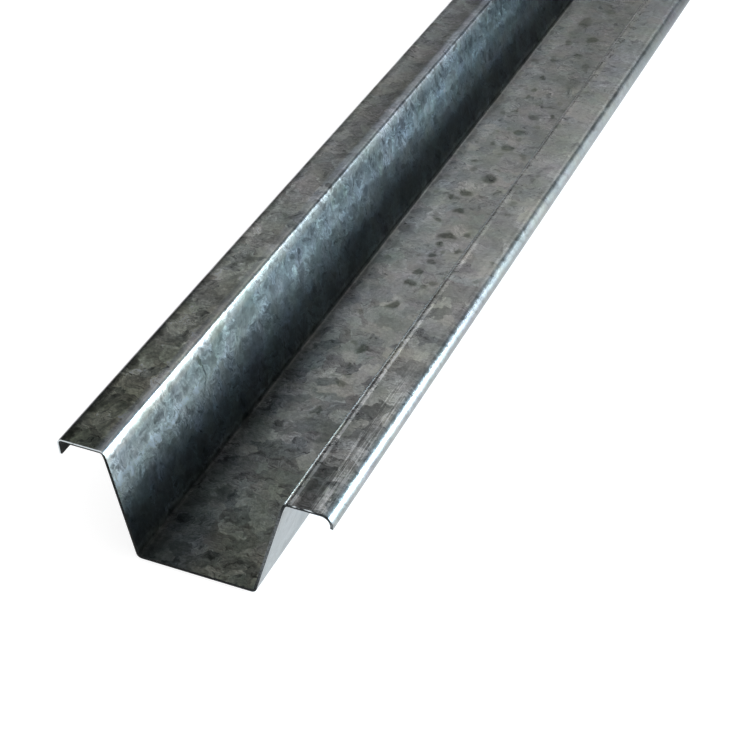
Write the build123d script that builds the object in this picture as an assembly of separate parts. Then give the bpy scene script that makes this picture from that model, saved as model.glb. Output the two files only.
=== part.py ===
from build123d import *
from math import radians, tan
import os

# Stock as it is sold
stock_length = 2400.0
depth = 40.0
overall_width = 95.0
sheet_thickness = 1.0

# Web and legs: the web's width is between the corners of its outer face,
# and the legs lean outwards from upright
web_width = 42.0
leg_lean = 15.0
web_bend_radius = 1.0
wing_bend_radius = 1.0

# Lips: both lean in below the wings, and the right one is a rounder bend
lip_lean = 8.0
left_lip_drop = 5.6
left_lip_bend_radius = 0.6
right_lip_drop = 4.9
right_lip_bend_radius = 3.2


def lip_corners(side, drop, bend_radius):
    """Wing and lip corner, then lip tip, on the face under the wing. Side is -1 left, +1 right."""
    underside = depth - sheet_thickness
    widest = overall_width / 2 - sheet_thickness
    past_widest = bend_radius * (tan(radians(45 + lip_lean / 2)) - 1)
    corner = widest + past_widest
    fall = drop - sheet_thickness
    tip = corner - fall * tan(radians(lip_lean))
    return (side * corner, underside), (side * tip, underside - fall)


def outer_face_line():
    """The sheet's lower face from lip tip to lip tip, with a bend radius at each corner."""
    underside = depth - sheet_thickness
    web_corner = web_width / 2
    wing_corner = web_corner + underside * tan(radians(leg_lean))
    left_corner, left_tip = lip_corners(-1, left_lip_drop, left_lip_bend_radius)
    right_corner, right_tip = lip_corners(1, right_lip_drop, right_lip_bend_radius)
    points = [
        left_tip,
        left_corner,
        (-wing_corner, underside),
        (-web_corner, 0),
        (web_corner, 0),
        (wing_corner, underside),
        right_corner,
        right_tip,
    ]
    web_bend_outside = web_bend_radius + sheet_thickness
    radii = [
        left_lip_bend_radius,
        wing_bend_radius,
        web_bend_outside,
        web_bend_outside,
        wing_bend_radius,
        right_lip_bend_radius,
    ]
    return FilletPolyline(points, radius=radii)


def hat_channel():
    """One strip folded lengthwise by rolls and cut square at both ends."""
    with BuildPart() as channel:
        with BuildSketch(Plane.XZ) as section:
            with BuildLine():
                outer_face_line()
                offset(amount=sheet_thickness, side=Side.LEFT)
            make_face()
        extrude(amount=stock_length / 2, both=True)
    return channel.part


os.makedirs("parts", exist_ok=True)
export_step(hat_channel(), "parts/hat_channel.step")
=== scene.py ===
from math import cos, pi, radians, sin, tan

import bmesh
import bpy
from mathutils import Matrix, Vector
from mathutils.kdtree import KDTree


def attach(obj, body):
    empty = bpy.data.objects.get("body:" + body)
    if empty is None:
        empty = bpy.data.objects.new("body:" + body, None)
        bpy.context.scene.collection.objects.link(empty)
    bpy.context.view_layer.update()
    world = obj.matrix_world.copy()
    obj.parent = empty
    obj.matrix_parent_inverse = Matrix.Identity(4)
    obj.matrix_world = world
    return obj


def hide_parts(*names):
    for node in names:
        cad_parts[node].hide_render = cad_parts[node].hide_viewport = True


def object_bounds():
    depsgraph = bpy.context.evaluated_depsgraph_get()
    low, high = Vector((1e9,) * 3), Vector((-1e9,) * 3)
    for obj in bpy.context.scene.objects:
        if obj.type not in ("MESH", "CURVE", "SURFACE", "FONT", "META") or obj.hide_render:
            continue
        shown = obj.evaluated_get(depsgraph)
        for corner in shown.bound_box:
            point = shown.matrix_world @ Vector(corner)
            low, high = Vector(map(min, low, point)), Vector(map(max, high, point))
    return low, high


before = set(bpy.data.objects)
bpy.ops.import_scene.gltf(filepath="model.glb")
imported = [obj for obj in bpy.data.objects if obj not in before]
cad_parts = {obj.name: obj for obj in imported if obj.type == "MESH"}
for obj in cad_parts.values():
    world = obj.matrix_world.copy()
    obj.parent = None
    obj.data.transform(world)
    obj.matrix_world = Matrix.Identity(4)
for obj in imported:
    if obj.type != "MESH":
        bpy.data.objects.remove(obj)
cad_low, cad_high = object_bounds()

# The camera looks down into the trough from behind the near cut end, a little to its right.
# Its place is counted from the middle of that end, on the floor.
near_cut = Vector((0, cad_low.y, 0))
camera_place = near_cut + Vector((0.2328, -0.4338, 0.4349))
camera_turn = radians(22.02)
camera_tilt = radians(35.70)
camera_roll = radians(1.26)
picture_side = 734
focal_pixels = 2039
bpy.ops.object.camera_add()
camera = bpy.context.object
camera.name = "camera"
camera.data.sensor_width = 36
camera.data.lens = camera.data.sensor_width * focal_pixels / picture_side
camera.matrix_world = (
    Matrix.Translation(camera_place)
    @ Matrix.Rotation(camera_turn, 4, "Z")
    @ Matrix.Rotation(pi / 2 - camera_tilt, 4, "X")
    @ Matrix.Rotation(camera_roll, 4, "Z")
)
camera.data.clip_start = 0.01
camera.data.clip_end = 100
bpy.context.scene.camera = camera

# The strip: hot-dip galvanised steel sheet, folded lengthwise by rolls into a flat web, two legs
# that lean outwards, two wings and two lips that turn down under the wings. It starts here as the
# web's lower face, and each bend is spun and each flat is extruded from the edge before it.
sheet_thickness = 0.001
web_width = 0.042
leg_lean = radians(15)
web_bend_inside = 0.001
web_bend_radius = web_bend_inside + sheet_thickness
wing_bend_radius = 0.001
lip_lean = radians(8)
left_lip_bend_radius, left_lip_drop = 0.0006, 0.0056
right_lip_bend_radius, right_lip_drop = 0.0032, 0.0049
wing_underside = cad_high.z - sheet_thickness
leg_turn = pi / 2 - leg_lean
lip_turn = pi / 2 + lip_lean
# Below the tight bend the leg springs back a little, so its top starts to turn early.
spring_turn, spring_radius = radians(9.5), 0.016
tight_turn = leg_turn - spring_turn

# The mesh has closer rows over the length that the photo shows.
near_length, near_rows, far_rows = 0.46, 184, 150
flat_columns, wing_columns, lip_columns = 12, 5, 2
bend_steps, spring_steps, lip_bend_steps = 8, 4, 10
# Two places closer than a hair are the same one.
hair = 1e-6
merge_distance = 1e-5


def corner_share(turn):
    """How far a bend of radius one reaches back along the flat from the corner."""
    return tan(turn / 2)


def wing_bend_reaches():
    """How far the two-part wing bend reaches from the corner, along the leg and along the wing."""
    spring_arm = spring_radius * corner_share(spring_turn)
    tight_arm = wing_bend_radius * corner_share(tight_turn)
    between = spring_arm + tight_arm
    along_leg = between * sin(tight_turn) / sin(leg_turn) + spring_arm
    along_wing = between * sin(spring_turn) / sin(leg_turn) + tight_arm
    return along_leg, along_wing


def select_edges(mesh_object, wanted):
    """Selects the edges whose two ends both stand at a wanted place, and nothing else."""
    bpy.ops.mesh.select_all(action="DESELECT")
    mesh = bmesh.from_edit_mesh(mesh_object.data)
    for edge in mesh.edges:
        edge.select = all(wanted(vert.co) for vert in edge.verts)
    bmesh.update_edit_mesh(mesh_object.data)


def extrude_rows(step, rows):
    """Extrudes the selected edges by the same step, row after row."""
    for _ in range(rows):
        bpy.ops.mesh.extrude_region_move(TRANSFORM_OT_translate={"value": step})


def run_flat(edge_x, edge_z, slope, length, side, columns):
    """Extrudes the selected edge through a flat and returns the new edge's place."""
    sideways, upwards = side * cos(slope) * length, sin(slope) * length
    extrude_rows(Vector((sideways, 0, upwards)) / columns, columns)
    return edge_x + sideways, edge_z + upwards


def run_bend(edge_x, edge_z, slope, turn, radius, side, steps):
    """Spins the selected edge through a bend and returns the new edge's place and slope.

    The side is +1 right and -1 left, and the slope is the section's angle above level.
    """
    up = 1 if turn > 0 else -1
    normal = Vector((-side * sin(slope), 0, cos(slope))) * up
    middle = Vector((edge_x, 0, edge_z)) + normal * radius
    bpy.ops.mesh.spin(steps=steps, angle=side * turn, center=middle, axis=(0, 1, 0))
    slope += turn
    normal = Vector((-side * sin(slope), 0, cos(slope))) * up
    edge = middle - normal * radius
    return edge.x, edge.z, slope


leg_side_reach, wing_side_reach = wing_bend_reaches()
web_side_reach = web_bend_radius * corner_share(leg_turn)
wing_corner = web_width / 2 + wing_underside * tan(leg_lean)
web_flat = web_width - 2 * web_side_reach
leg_flat = wing_underside / cos(leg_lean) - web_side_reach - leg_side_reach
bpy.ops.object.select_all(action="DESELECT")
bpy.ops.mesh.primitive_grid_add(
    x_subdivisions=flat_columns, y_subdivisions=near_rows, size=1,
    location=(0, cad_low.y + near_length / 2, cad_low.z),
)
channel = bpy.context.object
channel.name = "folded_channel"
channel.scale = (web_flat, near_length, 1)
bpy.ops.object.transform_apply(location=True, rotation=False, scale=True)
bpy.ops.object.mode_set(mode="EDIT")
bpy.ops.mesh.select_mode(type="EDGE")
near_limit = cad_low.y + near_length
select_edges(channel, lambda place: place.y > near_limit - hair)
extrude_rows((0, (cad_high.y - near_limit) / far_rows, 0), far_rows)

for side, lip_radius, lip_drop in (
    (1, right_lip_bend_radius, right_lip_drop),
    (-1, left_lip_bend_radius, left_lip_drop),
):
    lip_side_reach = lip_radius * corner_share(lip_turn)
    lip_corner = cad_high.x - sheet_thickness - lip_radius + lip_side_reach
    wing_flat = lip_corner - wing_corner - wing_side_reach - lip_side_reach
    lip_flat = (lip_drop - sheet_thickness) / cos(lip_lean) - lip_side_reach
    select_edges(channel, lambda place: place.x * side > web_flat / 2 - hair)
    x, z, slope = side * web_flat / 2, cad_low.z, 0
    x, z, slope = run_bend(x, z, slope, leg_turn, web_bend_radius, side, bend_steps)
    x, z = run_flat(x, z, slope, leg_flat, side, flat_columns)
    x, z, slope = run_bend(x, z, slope, -spring_turn, spring_radius, side, spring_steps)
    x, z, slope = run_bend(x, z, slope, -tight_turn, wing_bend_radius, side, bend_steps)
    x, z = run_flat(x, z, slope, wing_flat, side, wing_columns)
    x, z, slope = run_bend(x, z, slope, -lip_turn, lip_radius, side, lip_bend_steps)
    run_flat(x, z, slope, lip_flat, side, lip_columns)

bpy.ops.mesh.select_all(action="SELECT")
bpy.ops.mesh.remove_doubles(threshold=merge_distance)
bpy.ops.mesh.normals_make_consistent(inside=False)
bpy.ops.object.mode_set(mode="OBJECT")

# The sheet's own map, as if it were unfolded: u runs across it from the web's middle and v along
# it from the near end, in metres, so that the zinc's pattern follows the sheet round every bend.
strip = bmesh.new()
strip.from_mesh(channel.data)
end_verts = {v for v in strip.verts if v.co.y < cad_low.y + hair}
chain = []
vert = min((v for v in end_verts if len(v.link_edges) == 2), key=lambda v: v.co.x)
while vert:
    chain.append(vert)
    ways_on = [e.other_vert(vert) for e in vert.link_edges]
    vert = next((v for v in ways_on if v in end_verts and v not in chain), None)
unfolded = [0]
for before, after in zip(chain, chain[1:]):
    unfolded.append(unfolded[-1] + (after.co - before.co).length)
section = KDTree(len(chain))
for index, vert in enumerate(chain):
    section.insert((vert.co.x, 0, vert.co.z), index)
section.balance()
web_middle = unfolded[section.find((0, 0, 0))[1]]
sheet_map = strip.loops.layers.uv.new("sheet")
for face in strip.faces:
    for loop in face.loops:
        place = loop.vert.co
        index = section.find((place.x, 0, place.z))[1]
        loop[sheet_map].uv = (unfolded[index] - web_middle, place.y - cad_low.y)
strip.to_mesh(channel.data)
strip.free()


def add_node(tree, kind, inputs=None, **settings):
    """Adds a node; inputs are values or the sockets that feed it."""
    node = tree.nodes.new(kind)
    for name, value in settings.items():
        setattr(node, name, value)
    for name, value in (inputs or {}).items():
        if isinstance(value, bpy.types.NodeSocket):
            tree.links.new(value, node.inputs[name])
        else:
            node.inputs[name].default_value = value
    return node


def maths(tree, operation, *values):
    """One Math node's result; values are numbers or sockets, in order."""
    return add_node(tree, "ShaderNodeMath", dict(enumerate(values)), operation=operation).outputs[0]


def ease(tree, value, start, end, low=0, high=1):
    """Goes smoothly from low to high while value goes from start to end."""
    return add_node(tree, "ShaderNodeMapRange", {
        "Value": value, "From Min": start, "From Max": end, "To Min": low, "To Max": high,
    }, interpolation_type="SMOOTHSTEP").outputs["Result"]


def look_up(tree, place, stops):
    """Looks up a colour by a place between zero and one: stops are (place, colour), in order."""
    node = add_node(tree, "ShaderNodeValToRGB", {"Fac": place})
    ramp = node.color_ramp.elements
    for number, (stop, colour) in enumerate(stops):
        element = ramp[number] if number < 2 else ramp.new(stop)
        element.position = stop
        element.color = (*colour, 1)
    return node.outputs["Color"]


def level_across(tree, u, levels):
    """Looks up a level by the place across the sheet: levels are (u in millimetres, level)."""
    first, last = levels[0][0], levels[-1][0]
    place = maths(tree, "MULTIPLY_ADD", u, 1000 / (last - first), -first / (last - first))
    return look_up(tree, place, [
        ((u_mm - first) / (last - first), (level, level, level)) for u_mm, level in levels
    ])


def noise(tree, place, scale, detail=2, roughness=0.5):
    """Even noise about one half in tone and colour, with its grain 1/scale metres."""
    return add_node(tree, "ShaderNodeTexNoise", {
        "Vector": place, "Scale": scale, "Detail": detail, "Roughness": roughness,
    }, noise_dimensions="2D").outputs


def stretched(tree, place, scale_u, scale_v, shift=0):
    """The sheet's place with its own scale each way, for grain that is longer one way."""
    return add_node(tree, "ShaderNodeMapping", {
        "Vector": place, "Scale": (scale_u, scale_v, 1), "Location": (shift, shift, 0),
    }).outputs["Vector"]


def vector_maths(tree, operation, *values, **inputs):
    """One Vector Math node's vector result."""
    feeds = dict(enumerate(values)) | inputs
    return add_node(tree, "ShaderNodeVectorMath", feeds, operation=operation).outputs["Vector"]


def product(tree, *values):
    """The product of several numbers or sockets."""
    result = values[0]
    for value in values[1:]:
        result = maths(tree, "MULTIPLY", result, value)
    return result


def band(tree, place, middle, half, soft):
    """One inside middle +- half and zero outside, with a soft edge, all in millimetres."""
    off = maths(tree, "ABSOLUTE", maths(tree, "SUBTRACT", place, middle / 1000))
    return ease(tree, off, (half + soft) / 1000, max(half - soft, 0) / 1000)


def only_where(tree, share, level):
    """The level, a socket, where the share is one, and one where the share is zero."""
    return maths(tree, "POWER", level, share)


def easing_to(tree, share, level):
    """Goes smoothly from one to the level, a number, while the share goes from zero to one."""
    return ease(tree, share, 0, 1, 1, level)


def spots(tree, place, marks):
    """Soft round spots, the strongest where they overlap.

    Each is (u, v, width, length, strength), with its place and its size in millimetres. The reach
    is counted in half sizes.
    """
    rim, core = 1.5, 0.55
    covered = 0
    for u, v, width, length, strength in marks:
        off = vector_maths(tree, "SUBTRACT", place, (u / 1000, v / 1000, 0))
        off = vector_maths(tree, "MULTIPLY", off, (2000 / width, 2000 / length, 0))
        reach = add_node(tree, "ShaderNodeVectorMath", {0: off}, operation="LENGTH").outputs["Value"]
        covered = maths(tree, "MAXIMUM", covered, ease(tree, reach, rim, core, 0, strength))
    return covered


# The zinc's grains to the metre, and the turns of the feathers in a crystal, in radians.
warp_scale, crystal_scale, frost_scale, cloud_scale = 120, 165, 600, 55
feather_scale_across, feather_scale_along = 230, 1100
feather_turn_least, feather_turn_most = -1.15, 0.35
feather_strength_least, feather_strength_most = 0.9, 3
crystal_wander = 0.010
patch_hue = (0.14, 0.09, 0.225)
crystal_hue = (0.05, 0.03, 0.05)
pit_depth = 0.00007
crystal_askew, lip_askew = 0.05, 0.008


def zinc_coat(name, contrast, shift):
    """Spangled zinc: crystals half a centimetre wide, each with its own tone, tilt and feathers."""
    material = bpy.data.materials.new(name)
    material.use_nodes = True
    tree = material.node_tree
    sheet = add_node(tree, "ShaderNodeUVMap", uv_map="sheet").outputs["UV"]
    axes = add_node(tree, "ShaderNodeSeparateXYZ", {"Vector": sheet}).outputs
    place = stretched(tree, sheet, 1, 1, shift)
    half = (0.5, 0.5, 0.5)
    warp = vector_maths(tree, "SUBTRACT", noise(tree, place, warp_scale, 3, 0.6)["Color"], half)
    warped = vector_maths(
        tree, "MULTIPLY_ADD", warp, (crystal_wander, crystal_wander, 0), place)
    cells = add_node(tree, "ShaderNodeTexVoronoi", {
        "Vector": warped, "Scale": crystal_scale,
    }, voronoi_dimensions="2D").outputs
    cell = add_node(tree, "ShaderNodeSeparateColor", {"Color": cells["Color"]}).outputs
    from_middle = vector_maths(tree, "SUBTRACT", warped, cells["Position"])
    turned = add_node(tree, "ShaderNodeVectorRotate", {
        "Vector": from_middle,
        "Angle": ease(tree, cell["Red"], 0, 1, feather_turn_least, feather_turn_most),
    }, rotation_type="Z_AXIS").outputs["Vector"]
    lined = stretched(tree, turned, feather_scale_across, feather_scale_along)
    own = vector_maths(tree, "ADD", lined, cells["Color"])
    feather = noise(tree, own, 1, 3, 0.62)["Fac"]
    frost = noise(tree, place, frost_scale, 2, 0.7)["Fac"]
    cloud = noise(tree, place, cloud_scale, 3, 0.6)
    strength = ease(tree, cell["Blue"], 0, 1, feather_strength_least, feather_strength_most)
    feathery = product(tree, maths(tree, "SUBTRACT", feather, 0.5), strength)
    tone = maths(tree, "MULTIPLY_ADD", feathery, contrast, 1)
    for grain, dark_end, light_end, swing in (
        (cell["Green"], 0, 1, 0.2), (frost, 0.3, 0.7, 0.15), (cloud["Fac"], 0.25, 0.75, 0.18),
    ):
        swing *= contrast
        tone = product(tree, tone, ease(tree, grain, dark_end, light_end, 1 - swing, 1 + swing))

    # The hue wanders between olive, plum and steel blue from patch to patch.
    hue = vector_maths(tree, "SUBTRACT", cloud["Color"], half)
    hue = vector_maths(tree, "MULTIPLY", hue, patch_hue)
    own_hue = vector_maths(tree, "SUBTRACT", cells["Color"], half)
    hue = vector_maths(tree, "MULTIPLY_ADD", own_hue, crystal_hue, hue)
    tint = vector_maths(tree, "MULTIPLY_ADD", hue, (contrast, contrast, contrast), (1, 1, 1))

    # Each crystal stands a little askew, less on the drawn lip, and the skin is finely pitted.
    askew = ease(tree, axes["X"], 0.073, 0.0745, crystal_askew, lip_askew)
    lean = vector_maths(tree, "SCALE", own_hue, Scale=askew)
    normal = add_node(tree, "ShaderNodeNewGeometry").outputs["Normal"]
    tilted = vector_maths(tree, "NORMALIZE", vector_maths(tree, "ADD", normal, lean))
    relief = maths(tree, "MULTIPLY_ADD", feather, 0.3, product(tree, frost, 0.7))
    bump = add_node(tree, "ShaderNodeBump", {
        "Height": relief, "Distance": pit_depth, "Normal": tilted,
    })
    shader = tree.nodes["Principled BSDF"]
    shader.inputs["Metallic"].default_value = 1
    tree.links.new(bump.outputs["Normal"], shader.inputs["Normal"])
    return material, tree, shader, {
        "sheet": sheet, "u": axes["X"], "v": axes["Y"],
        "warp": warp, "tone": tone, "tint": tint, "feather": feather,
    }


def finish_zinc(tree, shader, zinc, base, tone, roughness):
    """Feeds the zinc's colour and roughness: the tone and the roughness go by the sheet's zones."""
    colour = vector_maths(tree, "MULTIPLY", zinc["tint"], base)
    colour = vector_maths(tree, "SCALE", colour, Scale=product(tree, zinc["tone"], tone))
    tree.links.new(colour, shader.inputs["Base Color"])
    unevenness = 0.04
    uneven = ease(tree, zinc["feather"], 0.3, 0.7, -unevenness, unevenness)
    tree.links.new(maths(tree, "ADD", roughness, uneven), shader.inputs["Roughness"])


# The trough's side, which the photo shows from close by. Its zones have ragged edges, which stray
# with the zinc's grain, but the lip and the left crest are ruled straight.
trough_zinc, tree, shader, zinc = zinc_coat("galvanised_sheet_trough_side", 1, 0)
u, v = zinc["u"], zinc["v"]
zone_wander = 0.006
wander = vector_maths(
    tree, "MULTIPLY_ADD", zinc["warp"], (zone_wander, zone_wander, 0), zinc["sheet"])
wander_axes = add_node(tree, "ShaderNodeSeparateXYZ", {"Vector": wander}).outputs
free = product(tree, ease(tree, u, 0.0725, 0.0705), easing_to(tree, band(tree, u, -61, 2, 1), 0.2))
ragged = maths(tree, "MULTIPLY_ADD", maths(tree, "SUBTRACT", wander_axes["X"], u), free, u)
# The levels across the sheet: the left lip, wing, crest and leg, then the web and the right side. They
# hold painted light: painted highlights on the left crest and the right lip's bend, a painted
# reflection on the leg's upper part, and painted shade at the leg's foot and in the web's right bend.
wing_and_leg = level_across(tree, ragged, [
    (-81, 0.8), (-76, 0.8), (-74.4, 0.85), (-73.4, 1.15), (-64.5, 0.9), (-62.8, 1.1), (-61.2, 1.5),
    (-59.3, 1.38), (-57.5, 1.2), (-55.5, 1.05), (-53, 1.36), (-49.5, 2), (-48, 1.95), (-45.7, 1.4),
    (-39, 1.32), (-36, 0.9), (-33, 0.75), (-25, 0.7), (-23, 0.95),
])
web_and_right = level_across(tree, ragged, [
    (-25, 1), (-23, 1.3), (-21, 0.95), (-19, 0.9), (-17, 1.33), (-14.5, 1.35), (-11.5, 1.08),
    (-8.5, 0.93), (-2, 1.03), (20, 1), (23, 0.7), (48, 1), (64, 0.95), (70, 1.08), (72.4, 1.02),
    (73.3, 1.3), (74, 1.9), (74.6, 2.2), (75.3, 1.05), (76, 0.8), (76.6, 0.72), (78, 0.66),
])
# Near the cut end there is painted light: a painted highlight on the crest and a painted reflection on
# the leg's upper part, painted shade at the leg's foot, and a black painted reflection along the left
# lip's edge.
near_end_painted_light = level_across(tree, ragged, [
    (-78, 0.7), (-75, 0.35), (-73.6, 0.5), (-72.4, 1), (-64.5, 1), (-62.8, 1.9), (-61.6, 2.6),
    (-60.6, 1.4), (-58.5, 1.35), (-57.5, 1.6), (-55.5, 1.4), (-53, 1.2), (-50.5, 1.35), (-48, 1.7),
    (-45.5, 1.7), (-43, 1.25), (-40, 1), (-37, 0.95), (-24, 0.95), (-22, 1),
])
near_end = ease(tree, v, 0.2, -0.05)
# The web lies in the near end's shade up to a slanting line, on its left.
shade_tone = level_across(tree, ragged, [
    (-24, 0.8), (-22, 0.5), (-20, 0.33), (-17, 0.27), (-14.5, 0.34), (-11.5, 0.45), (-8.5, 0.5),
    (-5.5, 0.53), (-2.5, 0.56), (0.5, 0.65), (3, 1),
])
shade_slant = 6.7
slant = maths(tree, "MULTIPLY_ADD", u, shade_slant, v)
# Two patches of light on the web, one by the cut end on the right and one along the middle.
right_light_tone, middle_light_tone = 1.25, 1.16
right_light = product(
    tree, ease(tree, ragged, 0.002, 0.008), ease(tree, ragged, 0.026, 0.022),
    ease(tree, v, 0.08, 0.03), ease(tree, v, 0.006, 0.024),
)
middle_light = product(tree, band(tree, ragged, 0, 10, 4), band(tree, v, 90, 30, 30))
# The wings' flats. The left one is lighter along its outer side, the more so further off.
wings = maths(tree, "ADD", ease(tree, u, -0.0625, -0.064), ease(tree, u, 0.063, 0.0638))
left_wing = product(tree, ease(tree, u, -0.0625, -0.064), ease(tree, u, -0.0755, -0.074))
far_left_wing = ease(tree, product(tree, left_wing, ease(tree, v, 0.12, 0.3)), 0, 1)
region_tone = product(
    tree, wing_and_leg, web_and_right, only_where(tree, near_end, near_end_painted_light),
    only_where(tree, ease(tree, slant, 0.1, -0.038), shade_tone),
    only_where(tree, far_left_wing, ease(tree, u, -0.073, -0.065, 1.2, 0.78)),
    easing_to(tree, right_light, right_light_tone), easing_to(tree, middle_light, middle_light_tone),
)
# Painted light that changes along the sheet: the painted highlights on the crests, the lip's shoulder
# and the lip are brightest by the near end and fade further off, and the painted reflection on the
# left wing and the leg fades too; the wings' flats and the leg's foot are darker right at the cut end.
# Each fade is (v from, v to, level from, level to), v in metres.
for zone, *fades in (
    (left_wing, (-0.01, 0.07, 0.6, 1), (0.05, 0.28, 2.1, 0.76)),
    # The right wing's flat.
    (band(tree, u, 66.8, 2.8, 0.6), (-0.005, 0.035, 0.33, 1)),
    # The left crest, and the wing's rim beside it.
    (band(tree, u, -60.2, 1.2, 0.8), (0, 0.12, 1.4, 1), (0.26, 0.38, 1, 0.65)),
    (band(tree, u, -61.4, 0.5, 0.4), (0.02, 0.045, 1.6, 0.88)),
    # The left leg, and its foot.
    (band(tree, u, -51, 10, 4), (0.3, 0.41, 1, 0.52)),
    (band(tree, u, -30.5, 7, 4), (-0.005, 0.03, 0.6, 1), (0.1, 0.33, 1.4, 0.95)),
    # The right crest.
    (band(tree, u, 60, 1.3, 0.4), (-0.03, 0.1, 1.7, 0.62), (0.2, 0.4, 1, 0.72)),
    # The right wing beside the lip, the lip's shoulder, and the lip.
    (band(tree, u, 72.2, 1.7, 0.5), (0.03, 0.09, 1.4, 1)),
    (band(tree, u, 74.4, 0.5, 0.3), (0.18, 0.34, 1, 0.55)),
    (ease(tree, u, 0.0744, 0.0752), (0.05, 0.14, 0.95, 0.75), (0.27, 0.42, 1, 0.36)),
):
    level = product(tree, *(ease(tree, v, *fade) for fade in fades))
    region_tone = product(tree, region_tone, only_where(tree, zone, level))
# Lines the rolls left, beside the web's bends, beside the right crest and along the right wing, with
# their highlight and shade painted on, and at 61.2 the right crest's painted highlight; each has its
# middle and half width in millimetres and its levels near and far.
line_softness = 0.22
wavy_scales = (8, 14)
for middle, half, near_level, far_level in (
    (-22.6, 0.35, 0.9, 0.65), (-21.5, 0.25, 1, 1.3), (-20.6, 0.25, 0.9, 1.4), (21.2, 0.2, 1.3, 1.4),
    (61.2, 0.25, 1.8, 1.05), (62.3, 0.5, 3.2, 1.08), (63.9, 0.4, 0.92, 0.95),
    (70.8, 0.8, 1.15, 1.08), (72.6, 0.4, 0.85, 0.88),
):
    wavy = noise(tree, stretched(tree, zinc["sheet"], *wavy_scales, middle), 1)["Fac"]
    line = product(tree, band(tree, u, middle, half, line_softness), ease(tree, wavy, 0.15, 0.5))
    level = ease(tree, v, 0.02, 0.22, near_level, far_level)
    region_tone = product(tree, region_tone, only_where(tree, line, level))
# Fine bright scratches along the right wing near the cut end.
scratch_scale_across, scratch_scale_along, scratch_shine = 1900, 45, 2.3
drawn_out = stretched(tree, zinc["sheet"], scratch_scale_across, scratch_scale_along)
grain = noise(tree, drawn_out, 1, 2)["Fac"]
scratches = product(
    tree, ease(tree, grain, 0.49, 0.62), band(tree, u, 70.6, 3, 1.2), ease(tree, v, 0.11, 0.02))
region_tone = product(tree, region_tone, easing_to(tree, scratches, scratch_shine))
# Dull marks: a row along the web's middle, two thinner rows beside it, and the leg's scuffs.
# The rolls leave them again every turn.
roll_turn = 0.47
turned_place = add_node(tree, "ShaderNodeCombineXYZ", {
    "X": ragged, "Y": maths(tree, "WRAP", wander_axes["Y"], roll_turn, 0),
}).outputs["Vector"]
dull = spots(tree, turned_place, (
    (0.8, 94.6, 3, 5, 0.7), (0.8, 112.8, 4, 4, 0.7), (0, 125, 3, 3, 0.6), (0.3, 136.3, 4, 6, 1),
    (0, 168, 3.5, 6.5, 1), (0.3, 184.7, 3.5, 4, 0.8), (0.3, 192.3, 4.5, 4, 1), (0.5, 206, 3.5, 3, 0.9),
    (0.5, 215, 3.5, 3.5, 0.8), (0.8, 222, 6.5, 4.5, 1), (-1, 242, 4, 4.5, 0.9), (-4.1, 257, 6, 5, 1),
    (0.8, 271, 6, 6, 1), (-0.7, 299.6, 5, 5.5, 0.9), (-1, 313.5, 4.5, 5, 0.9), (0.8, 330, 5, 5, 0.7),
    (-0.4, 394.6, 4, 4, 0.9), (8, 333, 2.5, 4.5, 0.9), (8.3, 213.6, 2.5, 3, 0.8),
    (8.3, 226.5, 2.5, 3, 0.8), (-8.3, 251.5, 2.2, 2.5, 0.9), (-7, 232.5, 2, 3.5, 0.7),
    (-8, 347, 2, 3, 0.9), (-7.6, 354, 2, 4, 0.9), (-2.3, 341.6, 3, 3.5, 0.7),
    (6, 366.5, 6, 15, 0.5), (0.9, 413, 5, 6, 1), (-0.7, 445.5, 4, 6, 0.8),
    (-7, 429, 5, 13, 0.7), (-8.3, 405, 3.5, 7, 0.8), (7, 385, 3, 8, 0.6), (-8.5, 384.3, 2.5, 5, 0.8),
    (-8.1, 366.4, 2.5, 5, 0.8), (-8.5, 333.3, 2.5, 4, 0.6), (3, 341, 12, 1.2, 0.6),
    (10.5, 343, 3, 4, 0.5), (-7.6, 300, 2.5, 4, 0.6), (-8, 276, 2.5, 4, 0.6),
    (7.5, 262, 2.5, 4, 0.5), (7.8, 296, 2.5, 4, 0.5), (-55, 63, 5, 2.2, 1), (-55, 130, 4, 2.5, 0.6),
    (-56, 176, 4, 3, 0.7), (-55.5, 187, 5, 3, 0.9), (-54, 263, 4, 3, 0.7),
))
light = spots(tree, turned_place, (
    (-2.3, 34.5, 9, 9, 1), (0, 48.5, 5, 4, 0.9), (-6.8, 75, 5, 8, 0.7), (-4.5, 82.5, 5, 6, 0.7),
    (-7.5, 61, 6, 2.5, 0.8), (-51, 26, 6, 9, 0.5), (-52, 46, 6, 6, 0.4), (-50, 229, 9, 7, 0.5),
    (-47, 277, 14, 44, 0.7),
))
# A gouge down the leg and a nick in the crest.
deep = spots(tree, turned_place, (
    (-55.3, 63, 4.2, 2.2, 1), (-51.5, 63.3, 7, 1.1, 0.9), (-48, 62.5, 3, 0.9, 0.8),
    (-61.7, 178, 2.4, 3.5, 1),
))
# Small specks all over, but for the lip and the cut end.
speck_scale = 170
specks = add_node(tree, "ShaderNodeTexVoronoi", {
    "Vector": wander, "Scale": speck_scale,
}, voronoi_dimensions="2D").outputs
speck = add_node(tree, "ShaderNodeSeparateColor", {"Color": specks["Color"]}).outputs
speck_size = ease(tree, speck["Blue"], 0.66, 1, -0.06, 0.24)
small = ease(tree, maths(tree, "SUBTRACT", specks["Distance"], speck_size), 0.08, -0.06, 0, 0.5)
dull = maths(tree, "MAXIMUM", dull, product(
    tree, small, ease(tree, v, 0.05, 0.12), ease(tree, u, 0.0735, 0.072),
))
gouge_tone, dull_tone, light_tone = 0.4, 0.68, 1.45
region_tone = product(
    tree, region_tone, easing_to(tree, deep, gouge_tone), easing_to(tree, dull, dull_tone),
    easing_to(tree, light, light_tone),
)
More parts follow.
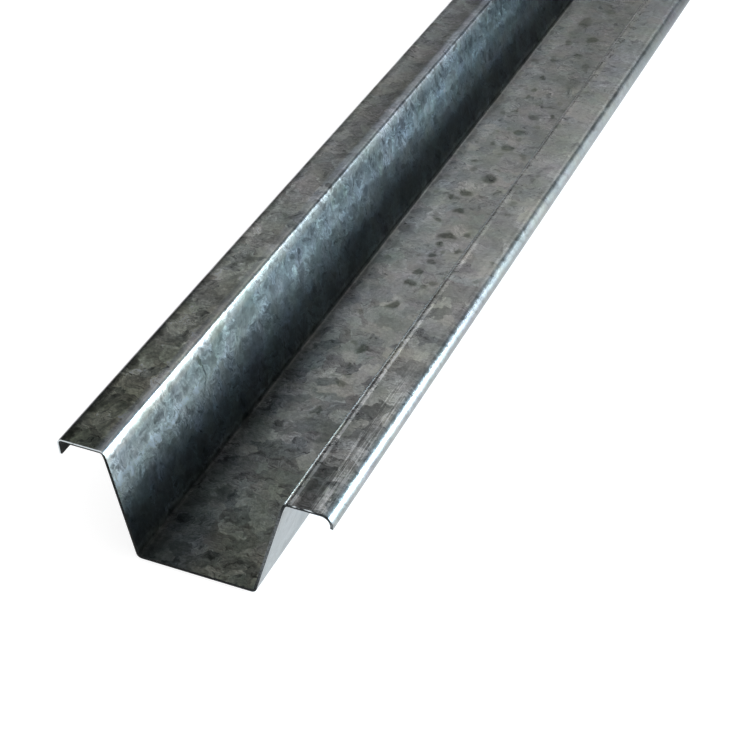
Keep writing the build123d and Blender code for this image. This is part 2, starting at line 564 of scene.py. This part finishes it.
# The crest that the rolls drew over is smoother, and the dull marks are rougher.
mark_roughness = 0.15
roughness = level_across(tree, u, [
    (-81, 0.33), (-61.5, 0.33), (-58, 0.38), (-24, 0.38), (-20, 0.33), (20, 0.33), (24, 0.38),
    (58, 0.38), (59.6, 0.27), (61, 0.28), (62, 0.31), (80, 0.33),
])
roughness = maths(tree, "MULTIPLY_ADD", dull, mark_roughness, roughness)
# The near end is olive on the web and wings and warm on the leg, which grows bluer further off. On the
# leg and the crest these tints colour the painted reflection and highlight.
upper_leg = band(tree, u, -52, 9, 4)
olive_web = product(
    tree, ease(tree, v, 0.09, 0.0),
    ease(tree, ragged, -0.008, 0.002), ease(tree, ragged, 0.024, 0.02),
)
warm_crest = product(tree, band(tree, u, -59, 2, 1), ease(tree, v, 0.4, 0.1))
blue_rim = product(tree, band(tree, u, -62.2, 1.6, 0.6), ease(tree, v, 0.1, 0.2))
# The Mix node's colour sockets go by number, because it uses each name more than once.
first_colour, second_colour, mixed = 6, 7, 2
for share, colour in (
    (band(tree, u, -42, 19, 4), (0.94, 1, 1.04)),
    (band(tree, u, -31, 7, 4), (0.94, 1, 1.1)),
    (product(tree, upper_leg, ease(tree, v, 0.2, -0.03)), (1.12, 1, 0.9)),
    (product(tree, upper_leg, ease(tree, v, 0.22, 0.38)), (0.93, 1, 1.04)),
    (olive_web, (1.04, 1.01, 0.87)),
    (warm_crest, (1.09, 1, 0.93)),
    (product(tree, left_wing, ease(tree, v, 0.18, 0.02)), (1.03, 1, 0.84)),
    (blue_rim, (0.96, 1, 1.1)),
    (product(tree, wings, ease(tree, v, 0.2, 0.36)), (0.97, 1, 1.04)),
    (dull, (1, 1.02, 0.92)),
):
    filter_colour = add_node(tree, "ShaderNodeMix", {
        "Factor": share, first_colour: (1, 1, 1, 1), second_colour: (*colour, 1),
    }, data_type="RGBA").outputs[mixed]
    zinc["tint"] = vector_maths(tree, "MULTIPLY", zinc["tint"], filter_colour)
# The spangle shows less on the leg and the lip, and a little less further off, except on the leg's
# top, where it is crisp.
calm = level_across(tree, u, [
    (-81, 0.95), (-64, 0.95), (-61.5, 0.45), (-57.5, 0.45), (-53, 0.6), (-34, 0.65),
    (-22, 0.8), (73, 0.8), (75, 0.35), (80, 0.35),
])
crisp_top = product(tree, band(tree, u, -57, 5, 2), ease(tree, v, 0.1, 0.18))
calm = product(tree, calm, ease(tree, v, 0.06, 0.18, 1.03, 0.92), easing_to(tree, crisp_top, 1.8))
zinc["tone"] = maths(tree, "POWER", zinc["tone"], calm)
trough_grey = (0.449, 0.454, 0.438)
finish_zinc(tree, shader, zinc, trough_grey, region_tone, roughness)

# The outer side: the same coat, a little darker on the right leg, wing and lip, and black with painted
# shade inside the left lip.
outer_contrast, outer_shift = 0.4, 3.7
outer_grey, outer_roughness = (0.438, 0.448, 0.446), 0.36
outer_zinc, tree, shader, zinc = zinc_coat(
    "galvanised_sheet_outer_side", outer_contrast, outer_shift)
outer_tone = level_across(tree, zinc["u"], [
    (-81, 0.04), (-75.5, 0.04), (-73.5, 0.5), (-64, 0.8), (20, 0.8), (24, 0.66), (60, 0.62),
    (64, 0.7), (80, 0.6),
])
finish_zinc(tree, shader, zinc, outer_grey, outer_tone, outer_roughness)

# The cut ends and slit edges: sheared steel, dark, torn along the lower face and burred above, the
# burr on the wings painted light as its highlight.
torn_scale, sparkle_scale = 1400, 420
steel_colour = (0.92, 0.98, 1.0)
burr_painted_highlight = 0.62
sheared_roughness, burr_roughness = 0.55, 0.35
cut_steel = bpy.data.materials.new("sheared_steel_edge")
cut_steel.use_nodes = True
tree = cut_steel.node_tree
shader = tree.nodes["Principled BSDF"]
depth = add_node(tree, "ShaderNodeAttribute", attribute_name="wall_depth").outputs["Fac"]
object_place = add_node(tree, "ShaderNodeTexCoord").outputs["Object"]
torn = add_node(tree, "ShaderNodeTexNoise", {
    "Vector": object_place, "Scale": torn_scale,
}).outputs["Fac"]
sparkle = add_node(tree, "ShaderNodeTexNoise", {
    "Vector": object_place, "Scale": sparkle_scale,
}).outputs["Fac"]
across = add_node(tree, "ShaderNodeSeparateXYZ", {"Vector": object_place}).outputs["X"]
edge_tone = level_across(tree, across, [
    (-48, 0.018), (-20, 0.016), (12, 0.016), (21.5, 0.03), (24, 0.12), (29, 0.1), (30.5, 0.03),
    (46, 0.03), (46.8, 0.14), (48, 0.14),
])
level = product(tree, edge_tone, ease(tree, torn, 0.3, 0.7, 0.5, 1.6))
# The burr's painted highlight: a line along the left wing and lip, broken sparkles on the right wing.
on_wing = maths(
    tree, "ADD", ease(tree, across, -0.0305, -0.0318), band(tree, across, 37, 5, 1))
broken = ease(tree, across, -0.03, 0.03, 0.2, 0.47)
burr_and_highlight = ease(tree, maths(tree, "SUBTRACT", sparkle, broken), 0, 0.12)
burr_foot = ease(tree, across, -0.03, 0.03, 0.42, 0.5)
burr_and_highlight = product(tree, ease(tree, maths(tree, "SUBTRACT", depth, burr_foot), 0, 0.2), burr_and_highlight, on_wing)
level = maths(tree, "MULTIPLY_ADD", burr_and_highlight, burr_painted_highlight, level)
steel = vector_maths(tree, "SCALE", steel_colour, Scale=level)
roughness = ease(tree, burr_and_highlight, 0, 1, sheared_roughness, burr_roughness)
tree.links.new(steel, shader.inputs["Base Color"])
shader.inputs["Metallic"].default_value = 1
tree.links.new(roughness, shader.inputs["Roughness"])
channel.data.materials.clear()
for coat in (trough_zinc, outer_zinc, cut_steel):
    channel.data.materials.append(coat)

# The wall: the sheet's thickness on top of the lower face, and its two cut ends and two slit edges.
wall = channel.modifiers.new("wall", "SOLIDIFY")
wall.thickness = sheet_thickness
wall.offset = 1
wall.use_even_offset = True
wall.use_quality_normals = True
wall.material_offset, wall.material_offset_rim = 1, 2
bpy.ops.object.modifier_apply(modifier="wall")
smooth_below = radians(40)
bpy.ops.object.shade_smooth_by_angle(angle=smooth_below)
# The wall's depth is one on the trough's side and zero on the outer side.
depths = [0.0] * len(channel.data.vertices)
for face in channel.data.polygons:
    if face.material_index == 0:
        for index in face.vertices:
            depths[index] = 1.0
wall_depth = channel.data.attributes.new("wall_depth", "FLOAT", "POINT")
wall_depth.data.foreach_set("value", depths)

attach(channel, "root")
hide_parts("hat_channel")

# The floor: a pale matt studio floor just under the channel, which keeps its soft shadow. A glow
# that only the camera and the metal's reflections see makes it pale, and it lights nothing.
floor_side = 60
floor_gap = 0.0003
floor_grey = 0.5
floor_glow = 0.72
bpy.ops.mesh.primitive_plane_add(size=floor_side, location=(0, 0, cad_low.z - floor_gap))
floor = bpy.context.object
floor.name = "studio_floor"
pale = bpy.data.materials.new("pale_floor")
pale.use_nodes = True
tree = pale.node_tree
tree.nodes.clear()
matt = add_node(tree, "ShaderNodeBsdfDiffuse", {
    "Color": (floor_grey, floor_grey, floor_grey, 1),
}).outputs[0]
ray = add_node(tree, "ShaderNodeLightPath").outputs
seen = maths(tree, "MAXIMUM", ray["Is Camera Ray"], ray["Is Glossy Ray"])
seen = maths(tree, "MAXIMUM", seen, ray["Is Transmission Ray"])
glow = add_node(tree, "ShaderNodeEmission", {
    "Color": (1, 1, 1, 1), "Strength": maths(tree, "MULTIPLY", seen, floor_glow),
}).outputs[0]
both = add_node(tree, "ShaderNodeAddShader", {0: matt, 1: glow}).outputs[0]
add_node(tree, "ShaderNodeOutputMaterial", {"Surface": both})
floor.data.materials.append(pale)

# The light: a dim studio with a low white wall all round and a lighter half behind the camera,
# one bluish soft box close on the channel's right, and a long strip lamp high up ahead.
world = bpy.data.worlds.new("studio")
bpy.context.scene.world = world
world.use_nodes = True
tree = world.node_tree
tree.nodes.clear()
outlook = add_node(tree, "ShaderNodeTexCoord").outputs["Generated"]
direction = add_node(tree, "ShaderNodeSeparateXYZ", {"Vector": outlook}).outputs


def studio_wall(levels):
    """The studio's brightness by height, bluish where it is dim: levels are (height, level)."""
    white, bluish = (1, 1, 1), (0.72, 0.9, 1)
    return look_up(tree, direction["Z"], [
        (height, [level * share for share in (white if level > 0.5 else bluish)])
        for height, level in levels
    ])


ahead = studio_wall([
    (0.0, 1.0), (0.18, 1.0), (0.28, 0.035), (0.4, 0.024), (0.9, 0.024), (0.96, 0.4), (1.0, 0.4),
])
behind = studio_wall([(0.0, 1.0), (0.18, 1.0), (0.3, 0.4), (1.0, 0.4)])
room = add_node(tree, "ShaderNodeMix", {
    "Factor": ease(tree, direction["Y"], 0.3, -0.2), first_colour: ahead, second_colour: behind,
}, data_type="RGBA").outputs[mixed]
backdrop = add_node(tree, "ShaderNodeBackground", {"Color": room}).outputs[0]
# What lights the floor is even, so that the dark room leaves no trace on it.
fill_grey = 0.75
fill = add_node(tree, "ShaderNodeBackground", {
    "Color": (fill_grey, fill_grey, fill_grey, 1),
}).outputs[0]
on_matt = add_node(tree, "ShaderNodeLightPath").outputs["Is Diffuse Ray"]
pick = add_node(tree, "ShaderNodeMixShader", {0: on_matt, 1: backdrop, 2: fill}).outputs[0]
add_node(tree, "ShaderNodeOutputWorld", {"Surface": pick})


def area_lamp(name, azimuth, elevation, distance, width, tall, brightness, colour, aim):
    """Stands a rectangular lamp at a direction and distance from the aim point, facing it.

    The azimuth turns clockwise from +Y, and the brightness is the same at any size of lamp.
    """
    away = Vector((sin(azimuth) * cos(elevation), cos(azimuth) * cos(elevation), sin(elevation)))
    bpy.ops.object.light_add(type="AREA")
    lamp = bpy.context.object
    lamp.name = name
    lamp.data.shape = "RECTANGLE"
    lamp.data.size = width
    lamp.data.size_y = tall
    lamp.data.energy = brightness * width * tall * pi
    lamp.data.color = colour
    turned = (-away).to_track_quat("-Z", "Y").to_matrix().to_4x4()
    lamp.matrix_world = Matrix.Translation(aim + away * distance) @ turned
    lamp.visible_camera = False


mouth_height = 0.03
trough_mouth = near_cut + Vector((0, 0, mouth_height))
area_lamp(
    "soft_box", azimuth=radians(66), elevation=radians(12.8), distance=0.8,
    width=0.69, tall=0.28, brightness=18.4, colour=(0.61, 0.83, 1.0), aim=trough_mouth,
)
area_lamp(
    "strip_lamp", azimuth=radians(-5.9), elevation=radians(33), distance=4,
    width=2.13, tall=0.6, brightness=1.5, colour=(1, 1, 1), aim=trough_mouth,
)

bpy.context.scene.view_settings.view_transform = "Standard"
